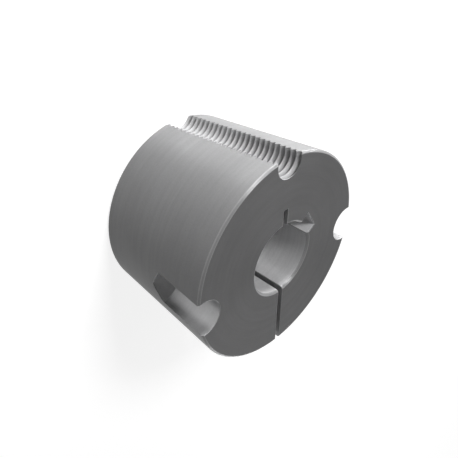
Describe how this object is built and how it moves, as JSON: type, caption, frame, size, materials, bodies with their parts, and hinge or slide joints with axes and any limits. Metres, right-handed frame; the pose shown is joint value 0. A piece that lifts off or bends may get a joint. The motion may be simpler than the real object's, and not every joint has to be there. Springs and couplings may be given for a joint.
{
  "type": "taper bush",
  "caption": "Split tapered bush with a keyed bore and half-round screw holes along its cone; drawn into a tapered hub, it clamps the hub to a shaft.",
  "frame": {"origin": "centre of the bore at the face of the small end, which the bush stands on", "axes": "+Z along the bore from the small end to the large end; -Y through the slit; +Y through the blind slit and the threaded half hole"},
  "size_m": [0.0568, 0.0568, 0.0381],
  "materials": {
    "machined_iron": "fine-turned grey cast iron, bare, with a thin film of oil"
  },
  "bodies": {
    "root": {"taper_bush": "machined_iron"}
  },
  "joints": []
}
